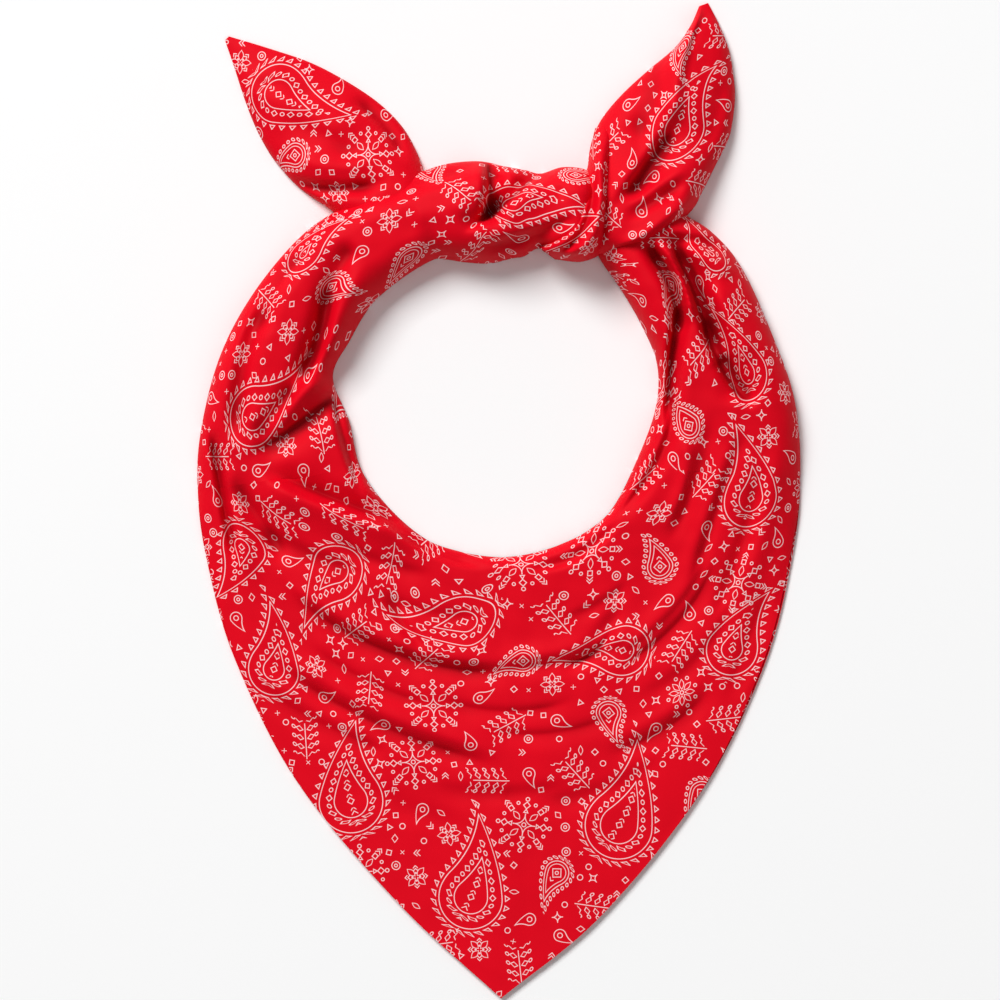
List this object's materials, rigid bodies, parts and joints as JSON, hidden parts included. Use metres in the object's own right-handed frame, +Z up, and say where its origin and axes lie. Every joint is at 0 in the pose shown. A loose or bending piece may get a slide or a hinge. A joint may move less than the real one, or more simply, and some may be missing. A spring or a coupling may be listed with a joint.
{
  "type": "bandana",
  "caption": "Square cloth bandana folded corner to corner and tied in a loop, with a twisted knot, pointed tails and a draped triangular front, lying flat.",
  "frame": {"origin": "on the surface that the bandana lies on, under the middle of its outline", "axes": "+X to the right seen from above with the tails at the top, +Y from the point towards the tails, +Z up"},
  "size_m": [0.3025, 0.4974, 0.0315],
  "materials": {
    "printed_cloth": "satin"
  },
  "bodies": {
    "root": {"front_drape": "printed_cloth", "back_layer": "printed_cloth", "left_side": "printed_cloth", "right_side": "printed_cloth", "knot_band": "printed_cloth", "knot_wrap": "printed_cloth", "left_tail": "printed_cloth", "right_tail": "printed_cloth"}
  },
  "joints": []
}
